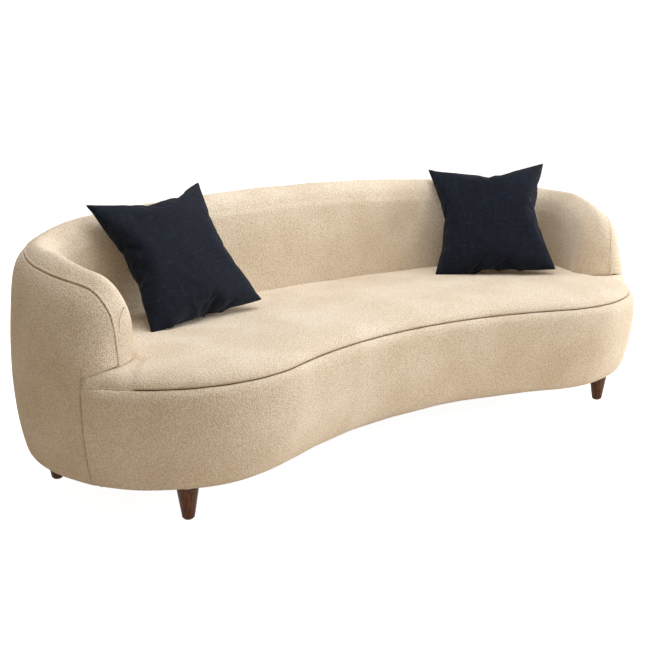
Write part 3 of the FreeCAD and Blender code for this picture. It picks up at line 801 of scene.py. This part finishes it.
def flat_cushion(name, side, seed):
    """Two squares joined at their edges, with a slight swell so that they part."""
    n = cushion_grid
    local = np.random.default_rng(seed)
    bumps = [(local.uniform(-1, 1, 2), local.uniform(-1, 1)) for _ in range(bump_count)]
    vertices, index, rest = [], {}, []
    for face in (-1, 1):
        for i in range(n + 1):
            for j in range(n + 1):
                border = i in (0, n) or j in (0, n)
                if border and face == 1:
                    index[face, i, j] = index[-1, i, j]
                    continue
                u, v = 2 * i / n - 1, 2 * j / n - 1
                bumpy = sum(a * math.exp(-((u - c[0]) ** 2 + (v - c[1]) ** 2) / bump_spread)
                            for c, a in bumps)
                swell = start_swell * (1 - u ** 2) * (1 - v ** 2)
                swell += bump_height * bumpy * (1 - u ** 2) * (1 - v ** 2)
                index[face, i, j] = len(vertices)
                vertices.append((u * side / 2, face * swell, v * side / 2))
                rest.append((u * side / 2, v * side / 2, face * 0.5))
    faces = []
    for face in (-1, 1):
        for i in range(n):
            for j in range(n):
                quad = [index[face, i, j], index[face, i + 1, j], index[face, i + 1, j + 1],
                        index[face, i, j + 1]]
                faces.append(quad if face == -1 else quad[::-1])
    made = mesh_object(name, vertices, faces)
    return made, np.array(rest)


def inflate(piece, pressure=5.0, last_frame=24):
    """Blow the cushion up with a cloth simulation until it is as plump as the real one."""
    modifier = piece.modifiers.new("filling", "CLOTH")
    settings = modifier.settings
    settings.quality = 6
    settings.mass = 0.25
    settings.tension_stiffness = 18
    settings.compression_stiffness = 18
    settings.shear_stiffness = 6
    settings.bending_stiffness = 0.35
    settings.air_damping = 2.5
    settings.use_pressure = True
    settings.uniform_pressure_force = pressure
    settings.effector_weights.gravity = 0.0
    modifier.point_cache.frame_start = 1
    modifier.point_cache.frame_end = last_frame
    scene = bpy.context.scene
    for number in range(1, last_frame + 1):
        scene.frame_set(number)
        blown = piece.evaluated_get(bpy.context.evaluated_depsgraph_get())
        depth = np.ptp([v.co.y for v in blown.data.vertices])
        if depth > blown_thicker * cushion_thickness:
            break
    settled = bpy.data.meshes.new_from_object(blown)
    piece.modifiers.clear()
    piece.data = settled
    scene.frame_set(1)
    print(piece.name, "blown to %.3f m in %d frames" % (depth, number))


def points_of(piece):
    return np.array([v.co for v in piece.data.vertices])


def move_points(piece, points):
    piece.data.vertices.foreach_set("co", points.astype(np.float32).ravel())
    piece.data.update()


def fit_cushion(piece, flat_half):
    """Bring the filled cushion to its real size and let its lower edge rest on the seat."""
    points = points_of(piece)
    corner = np.abs(points[:, [0, 2]]).min(1).argmax()
    half = cushion_side / 2
    points[:, [0, 2]] *= half / np.abs(points[corner, [0, 2]]).mean()
    points[:, 1] *= cushion_thickness / np.ptp(points[:, 1])
    points[:, 1] -= (points[:, 1].max() + points[:, 1].min()) / 2
    low_edge = points[flat_half[:, 1] < -0.999]
    low_edge = low_edge[np.argsort(low_edge[:, 0])]
    lift = np.interp(points[:, 0], low_edge[:, 0], low_edge[:, 2]) + half
    share = np.clip((-0.35 - points[:, 2] / half) / 0.6, 0, 1)
    points[:, 2] -= 0.9 * lift * share ** 2 * (3 - 2 * share)
    move_points(piece, points)


def stand_cushion(piece, place, turn, lean, roll):
    """Stand a cushion on the seat: rolled on its corner, leaned back and turned."""
    points = points_of(piece) + (0, 0, cushion_side / 2)
    turns = ((1, math.radians(roll)), (0, -math.radians(lean)), (2, math.radians(turn)))
    for axis, angle in turns:
        a, b = [(1, 2), (2, 0), (0, 1)][axis]
        c, s = math.cos(angle), math.sin(angle)
        turned = c * points[:, a] - s * points[:, b]
        points[:, b] = s * points[:, a] + c * points[:, b]
        points[:, a] = turned
    sink = cushion_side / 2 * math.sin(math.radians(abs(roll))) * math.cos(math.radians(lean))
    points += (place[0], place[1], seat_top + 0.0004 + sink)
    move_points(piece, points)


def make_cushion(name, seed, place, turn, lean, roll):
    flat_side = cushion_side * cut_larger
    piece, rest = flat_cushion(name, flat_side, seed)
    inflate(piece)
    fit_cushion(piece, rest / (flat_side / 2))
    attribute = piece.data.attributes.new("cloth_rest", "FLOAT_VECTOR", "POINT")
    attribute.data.foreach_set("vector", rest.astype(np.float32).ravel())
    stand_cushion(piece, place, turn, lean, roll)
    for polygon in piece.data.polygons:
        polygon.use_smooth = True
    smooth = piece.modifiers.new("finer_cloth", "SUBSURF")
    smooth.levels = smooth.render_levels = 1
    return piece


left_cushion = make_cushion("cushion_left", 11, (-0.552, 0.024), 6, 36, -5)
right_cushion = make_cushion("cushion_right", 23, (0.628, -0.017), -42, 34, -4)
for piece in (left_cushion, right_cushion):
    size = piece.dimensions
    print(piece.name, "box %.3f %.3f %.3f" % tuple(size))

# %% [markdown]
# ## Colours and nodes
#
# Colours are written as sRGB hex values, as a paint card gives them, and turned to the
# linear values that the renderer works with. One helper adds a node with its settings and
# links, so that each material below reads as a short list.

# %% Helpers for materials


def srgb(code):
    """Linear RGBA from a hex colour."""
    values = [int(code[i:i + 2], 16) / 255 for i in (1, 3, 5)]
    linear = [c / 12.92 if c <= 0.04045 else ((c + 0.055) / 1.055) ** 2.4 for c in values]
    return (*linear, 1.0)


def new_material(name, roughness, metallic=0.0, ior=None, **sockets):
    material = bpy.data.materials.new(name)
    material.use_nodes = True
    shader = material.node_tree.nodes["Principled BSDF"]
    shader.inputs["Roughness"].default_value = roughness
    shader.inputs["Metallic"].default_value = metallic
    if ior is not None:
        shader.inputs["IOR"].default_value = ior
    for socket, value in sockets.items():
        shader.inputs[socket.replace("_", " ")].default_value = value
    return material, material.node_tree, shader


def add(tree, kind, settings=None, links=None):
    """Add a node, set its options, inputs and colour stops, and link outputs to it."""
    node = tree.nodes.new(kind)
    for key, value in (settings or {}).items():
        if key == "stops":
            elements = node.color_ramp.elements
            stops = [(position, srgb(code)) for position, code in value]
            elements[0].position, elements[0].color = stops[0]
            elements[1].position, elements[1].color = stops[-1]
            for position, color in stops[1:-1]:
                elements.new(position).color = color
        elif isinstance(key, str) and hasattr(node, key):
            setattr(node, key, value)
        else:
            node.inputs[key].default_value = value
    for key, source in (links or {}).items():
        tree.links.new(source, node.inputs[key])
    return node


def per_mm(size):
    """Texture scale that gives a pattern of that size in millimetres."""
    return 1000.0 / size


# %% [markdown]
# ## Boucle
#
# The sofa wears a boucle: a cloth woven from looped yarn, so its face is a field of small
# soft nubs about 4 mm across with pits between them; the shade in the pits is painted into
# the colour. Wool and cotton scatter light widely, which gives high roughness and a gentle
# sheen where the cloth turns away.

# %% Weave the boucle
nub_size, pit_size, fibre_size, bend_size, drift_size = 3.8, 6.0, 1.4, 9.0, 160.0
boucle, tree, shader = new_material("boucle_cream_wool", 0.92, ior=1.45, Specular_IOR_Level=0.2,
                                   Sheen_Weight=0.12, Sheen_Roughness=0.5)
place = add(tree, "ShaderNodeTexCoord").outputs["Object"]
drift = add(tree, "ShaderNodeTexNoise", {"Scale": per_mm(drift_size), "Detail": 2.0},
            {"Vector": place})
bend = add(tree, "ShaderNodeTexNoise", {"Scale": per_mm(bend_size), "Detail": 1.0},
           {"Vector": place})
wander = add(tree, "ShaderNodeVectorMath", {"operation": "MULTIPLY_ADD", 1: (0.004, 0.004, 0.004)},
             {0: bend.outputs["Color"], 2: place})
nubs = add(tree, "ShaderNodeTexVoronoi",
           {"feature": "SMOOTH_F1", "Scale": per_mm(nub_size), "Smoothness": 0.35},
           {"Vector": wander.outputs["Vector"]})
pits = add(tree, "ShaderNodeTexNoise",
           {"Scale": per_mm(pit_size), "Detail": 3.0, "Roughness": 0.6}, {"Vector": place})
fibres = add(tree, "ShaderNodeTexNoise", {"Scale": per_mm(fibre_size), "Detail": 2.0},
             {"Vector": place})
loops = add(tree, "ShaderNodeMath", {"operation": "MULTIPLY_ADD", 1: -1.0, 2: 1.0},
            {0: nubs.outputs["Distance"]})
relief = add(tree, "ShaderNodeMath", {"operation": "MULTIPLY_ADD", 1: 0.45},
             {0: pits.outputs["Fac"], 2: loops.outputs["Value"]})
relief = add(tree, "ShaderNodeMath", {"operation": "MULTIPLY_ADD", 1: 0.25},
             {0: fibres.outputs["Fac"], 2: relief.outputs["Value"]})
# Painted shade: the colour follows the relief, darker and warmer in the pits between the loops and
# lighter on their tops, on top of the bump's own shading.
painted_pit_shade = add(tree, "ShaderNodeValToRGB",
            {"stops": [(0.75, "#d8c7ae"), (1.02, "#e5d7c2"), (1.3, "#ebdecb"), (1.5, "#f2e8d9")]},
            {"Fac": relief.outputs["Value"]})
tone = add(tree, "ShaderNodeMix", {"data_type": "RGBA", "blend_type": "MULTIPLY", "Factor": 1.0},
           {6: painted_pit_shade.outputs["Color"]})
soft = add(tree, "ShaderNodeValToRGB", {"stops": [(0.35, "#f4f1ec"), (0.65, "#ffffff")]},
           {"Fac": drift.outputs["Fac"]})
tree.links.new(soft.outputs["Color"], tone.inputs[7])
tree.links.new(tone.outputs[2], shader.inputs["Base Color"])
bump = add(tree, "ShaderNodeBump", {"Strength": 0.75, "Distance": 0.0022},
           {"Height": relief.outputs["Value"]})
tree.links.new(bump.outputs["Normal"], shader.inputs["Normal"])
print("boucle nubs: %.1f mm" % nub_size)

# %% [markdown]
# ## Linen
#
# The cushions are a plain-woven linen blend, dyed almost black blue. Flax yarn is never
# even: thicker slubs run along single threads and catch the light. The threads follow the
# flat squares that the cushion was cut from, so they bend with the folds.

# %% Weave the linen
thread_size, slub_width, slub_length = 2.1, 2.4, 34.0
linen, tree, shader = new_material("linen_ink_blue", 0.88, ior=1.45, Specular_IOR_Level=0.12,
                                  Sheen_Weight=0.05, Sheen_Roughness=0.45)
rest = add(tree, "ShaderNodeAttribute", {"attribute_name": "cloth_rest"}).outputs["Vector"]
heights, slubs = [], []
for direction in ("X", "Y"):
    wave = add(tree, "ShaderNodeTexWave",
               {"bands_direction": direction, "Scale": per_mm(2 * thread_size),
                "Distortion": 1.2, "Detail": 1.0, "Detail Scale": 2.0}, {"Vector": rest})
    stretch = [per_mm(slub_width), per_mm(slub_length), 1.0]
    if direction == "Y":
        stretch[:2] = stretch[1::-1]
    scaled = add(tree, "ShaderNodeVectorMath", {"operation": "MULTIPLY", 1: stretch}, {0: rest})
    slub = add(tree, "ShaderNodeTexNoise", {"Scale": 1.0, "Detail": 2.0},
               {"Vector": scaled.outputs["Vector"]})
    heights.append(wave.outputs["Fac"])
    slubs.append(slub.outputs["Fac"])
weave = add(tree, "ShaderNodeMath", {"operation": "MAXIMUM"}, {0: heights[0], 1: heights[1]})
slub = add(tree, "ShaderNodeMath", {"operation": "MAXIMUM"}, {0: slubs[0], 1: slubs[1]})
relief = add(tree, "ShaderNodeMath", {"operation": "MULTIPLY_ADD", 1: 1.4},
             {0: slub.outputs["Value"], 2: weave.outputs["Value"]})
dye = add(tree, "ShaderNodeValToRGB",
          {"stops": [(0.42, "#0f131b"), (0.62, "#171c28"), (0.82, "#252d3c")]},
          {"Fac": slub.outputs["Value"]})
tree.links.new(dye.outputs["Color"], shader.inputs["Base Color"])
bump = add(tree, "ShaderNodeBump", {"Strength": 0.55, "Distance": 0.0009},
           {"Height": relief.outputs["Value"]})
tree.links.new(bump.outputs["Normal"], shader.inputs["Normal"])
print("linen thread: %.1f mm, drawn coarser than the real 0.6 mm so that it shows" % thread_size)

# %% [markdown]
# ## Woods
#
# The legs are turned walnut under a satin lacquer: the grain runs down the leg and the
# lacquer gives a low gloss. The hidden frame is beech and birch plywood, and the boards
# that carry the padding are hardboard.

# %% Make the woods


def wood(name, light, dark, grain_mm, roughness, gloss=0.2, grain_axis=2, bump_mm=0.15):
    """Wood with long fibres along one axis, slow growth bands and short dark pores."""
    material, tree, shader = new_material(name, roughness, ior=1.5, Specular_IOR_Level=gloss)
    place = add(tree, "ShaderNodeTexCoord").outputs["Object"]
    across, lengthwise = per_mm(grain_mm), per_mm(grain_mm * 14)
    scale = [across] * 3
    scale[grain_axis] = lengthwise
    grain_place = add(tree, "ShaderNodeVectorMath", {"operation": "MULTIPLY", 1: scale},
                      {0: place})
    bands = add(tree, "ShaderNodeTexNoise", {"Scale": 1.0, "Detail": 4.0, "Distortion": 0.6},
                {"Vector": grain_place.outputs["Vector"]})
    pore_place = add(tree, "ShaderNodeVectorMath", {"operation": "MULTIPLY", 1: (4.0, 4.0, 4.0)},
                     {0: grain_place.outputs["Vector"]})
    pores = add(tree, "ShaderNodeTexNoise", {"Scale": 1.0, "Detail": 2.0},
                {"Vector": pore_place.outputs["Vector"]})
    mixed = add(tree, "ShaderNodeMath", {"operation": "MULTIPLY_ADD", 1: 0.35},
                {0: pores.outputs["Fac"], 2: bands.outputs["Fac"]})
    tone = add(tree, "ShaderNodeValToRGB", {"stops": [(0.5, dark), (0.85, light)]},
               {"Fac": mixed.outputs["Value"]})
    tree.links.new(tone.outputs["Color"], shader.inputs["Base Color"])
    bump = add(tree, "ShaderNodeBump", {"Strength": 0.35, "Distance": bump_mm / 1000},
               {"Height": pores.outputs["Fac"]})
    tree.links.new(bump.outputs["Normal"], shader.inputs["Normal"])
    return material


walnut = wood("walnut_satin_lacquer", "#6b3c16", "#33190a", 5.0, 0.45, gloss=0.25)
beech = wood("beech_planed", "#d8b489", "#b88f62", 3.0, 0.62)
plywood = wood("birch_plywood", "#dcc198", "#bd9a6a", 6.0, 0.66, grain_axis=0)
hardboard = wood("hardboard_brown", "#8f6b45", "#6d4e30", 2.0, 0.74, grain_axis=0)

# %% [markdown]
# ## Metals, webbing, felt, nylon and black cloth
#
# The springs are oiled spring steel, the fittings are zinc plated, the straps are woven
# polypropylene, the pad on the springs is felt, the glides are moulded nylon and the dust
# cover is a spun-bonded cloth. Few of them show, but each looks like what it is.

# %% Make the small materials


def metal(name, color, roughness, scratch_mm):
    material, tree, shader = new_material(name, roughness, metallic=1.0)
    place = add(tree, "ShaderNodeTexCoord").outputs["Object"]
    marks = add(tree, "ShaderNodeTexNoise", {"Scale": per_mm(scratch_mm), "Detail": 4.0},
                {"Vector": place})
    tone = add(tree, "ShaderNodeValToRGB", {"stops": [(0.3, color), (0.75, "#d6d6d2")]},
               {"Fac": marks.outputs["Fac"]})
    tree.links.new(tone.outputs["Color"], shader.inputs["Base Color"])
    rough = add(tree, "ShaderNodeMapRange", {"To Min": roughness * 0.8, "To Max": roughness * 1.2},
                {"Value": marks.outputs["Fac"]})
    tree.links.new(rough.outputs["Result"], shader.inputs["Roughness"])
    return material


def fibrous(name, light, dark, thread_mm, roughness, bump_mm=0.3, sheen=0.1):
    material, tree, shader = new_material(name, roughness, ior=1.45, Sheen_Weight=sheen)
    place = add(tree, "ShaderNodeTexCoord").outputs["Object"]
    fuzz = add(tree, "ShaderNodeTexNoise", {"Scale": per_mm(thread_mm), "Detail": 4.0},
               {"Vector": place})
    tone = add(tree, "ShaderNodeValToRGB", {"stops": [(0.35, dark), (0.65, light)]},
               {"Fac": fuzz.outputs["Fac"]})
    tree.links.new(tone.outputs["Color"], shader.inputs["Base Color"])
    bump = add(tree, "ShaderNodeBump", {"Strength": 0.5, "Distance": bump_mm / 1000},
               {"Height": fuzz.outputs["Fac"]})
    tree.links.new(bump.outputs["Normal"], shader.inputs["Normal"])
    return material


spring_steel = metal("spring_steel_oiled", "#6c6c70", 0.38, 4.0)
zinc_plate = metal("steel_zinc_plated", "#b4b3ae", 0.32, 6.0)
webbing = fibrous("polypropylene_webbing", "#3a3a3e", "#1c1c1f", 2.0, 0.7)
felt = fibrous("needle_felt", "#8a847b", "#5f5a53", 1.5, 0.95)
nylon = fibrous("nylon_moulded", "#1d1d1f", "#141415", 1.0, 0.5, bump_mm=0.05, sheen=0.0)
spunbond = fibrous("spunbond_black", "#17171a", "#0b0b0d", 1.8, 0.85)

# %% [markdown]
# ## Dressing the pieces
#
# Each new piece takes its material and rides on its body, and the solids it stands for
# are hidden. The solids that are right as they are keep their shape and only get a finish.

# %% Give every piece its finish and its body


def dress(piece, material):
    piece.data.materials.clear()
    piece.data.materials.append(material)


cloth_thickness = 0.0022
covers = (outside_panel, rim_cover, front_border, seat_cover)
for piece in covers:
    thicken(piece, cloth_thickness)
for piece in (*covers, rim_lip, seat_lip, *side_lips):
    dress(piece, boucle)
    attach(piece, "sofa")
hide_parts("outside_cover", "outer_padding")
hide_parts("rim_and_inside_cover", "back_foam", "arm_foam_right", "arm_foam_left",
            "back_webbing")
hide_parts("front_border_cover", "front_border_padding")
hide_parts("seat_cover", "seat_foam", "seat_felt_pad")
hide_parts("rim_seam_welt")
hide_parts("seat_seam_welt")

dress(dust_cover, spunbond)
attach(dust_cover, "sofa")
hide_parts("dust_cover")

for piece, side in ((left_cushion, "left"), (right_cushion, "right")):
    dress(piece, linen)
    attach(piece, side + "_cushion")
    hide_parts("cushion_" + side + "_cover", "cushion_" + side + "_filling")

finishes = {
    "plywood": plywood, "beech": beech, "fibreboard": hardboard,
    "spring_steel": spring_steel, "plated_steel": zinc_plate, "webbing": webbing,
    "felt": felt, "walnut": walnut, "nylon": nylon,
}
for row in frame["record"]["subparts"]:
    node = frame["nodes"][row["node"]]
    if not node.hide_render:
        dress(node, finishes[row["material_slot"]])

# %% [markdown]
# ## Studio
#
# A pale floor, a large soft key light low on the right, a weaker one in front, one
# overhead and an even, slightly warm sky. To the camera the floor and the sky are white, as
# in a catalogue, while the object still throws a faint shadow on the floor.

# %% Floor, light and camera


def seen_directly(tree):
    """1 where a ray from the camera, a shiny surface or glass meets the floor or the sky."""
    path = add(tree, "ShaderNodeLightPath")
    seen = path.outputs["Is Camera Ray"]
    for ray in ("Is Glossy Ray", "Is Transmission Ray"):
        seen = add(tree, "ShaderNodeMath", {"operation": "MAXIMUM"},
                   {0: seen, 1: path.outputs[ray]}).outputs["Value"]
    return seen


floor_material = bpy.data.materials.new("studio_floor_white")
floor_material.use_nodes = True
tree = floor_material.node_tree
tree.nodes.clear()
seen = seen_directly(tree)
matt = add(tree, "ShaderNodeBsdfDiffuse", {"Color": srgb("#ebe3d8")})
white = add(tree, "ShaderNodeEmission", {"Color": (1, 1, 1, 1), "Strength": 0.95})
both = add(tree, "ShaderNodeAddShader", {},
           {0: matt.outputs["BSDF"], 1: white.outputs["Emission"]})
choice = add(tree, "ShaderNodeMixShader", {},
             {"Fac": seen, 1: matt.outputs["BSDF"], 2: both.outputs["Shader"]})
add(tree, "ShaderNodeOutputMaterial", {}, {"Surface": choice.outputs["Shader"]})
reach = 14
corners = [(-reach, -reach, 0), (reach, -reach, 0), (reach, reach, 0), (-reach, reach, 0)]
floor = mesh_object("studio_floor", corners, [(0, 1, 2, 3)])
dress(floor, floor_material)

world = bpy.data.worlds.new("studio_sky")
bpy.context.scene.world = world
world.use_nodes = True
tree = world.node_tree
tree.nodes.clear()
seen = seen_directly(tree)
sky = add(tree, "ShaderNodeBackground", {"Color": srgb("#ffe6c8"), "Strength": 0.28})
plain = add(tree, "ShaderNodeBackground", {"Color": (1, 1, 1, 1), "Strength": 1.0})
choice = add(tree, "ShaderNodeMixShader", {},
             {"Fac": seen, 1: sky.outputs["Background"], 2: plain.outputs["Background"]})
add(tree, "ShaderNodeOutputWorld", {}, {"Surface": choice.outputs["Shader"]})


light_aim = (0.0, 0.0, 0.4)


def soft_light(name, place, size, power, color):
    light = bpy.data.lights.new(name, "AREA")
    light.shape = "RECTANGLE"
    light.size, light.size_y = size
    light.energy = power
    light.color = srgb(color)[:3]
    lamp = bpy.data.objects.new(name, light)
    bpy.context.scene.collection.objects.link(lamp)
    lamp.location = place
    lamp.rotation_euler = (Vector(light_aim) - Vector(place)).to_track_quat("-Z", "Y").to_euler()


soft_light("key_softbox_right", (4.2, -1.4, 1.5), (2.4, 1.6), 150, "#f8fbff")
soft_light("front_softbox", (1.8, -3.4, 2.4), (2.4, 2.0), 38, "#ffffff")
soft_light("top_softbox", (0.0, -0.2, 3.2), (3.2, 2.2), 76, "#f6faff")

photo_width, focal_pixels, sensor_width = 646, 1085.13, 36.0
camera_place, tilt_down, heading = (-2.2141, -2.6513, 1.1788), 13.6, -38.0
camera_data = bpy.data.cameras.new("photo_camera")
camera_data.sensor_width = sensor_width
camera_data.lens = focal_pixels / photo_width * sensor_width
camera_data.dof.use_dof = False
camera = bpy.data.objects.new("photo_camera", camera_data)
bpy.context.scene.collection.objects.link(camera)
camera.location = camera_place
camera.rotation_euler = (math.radians(90 - tilt_down), 0.0, math.radians(heading))
bpy.context.scene.camera = camera
bpy.context.scene.view_settings.view_transform = "Standard"
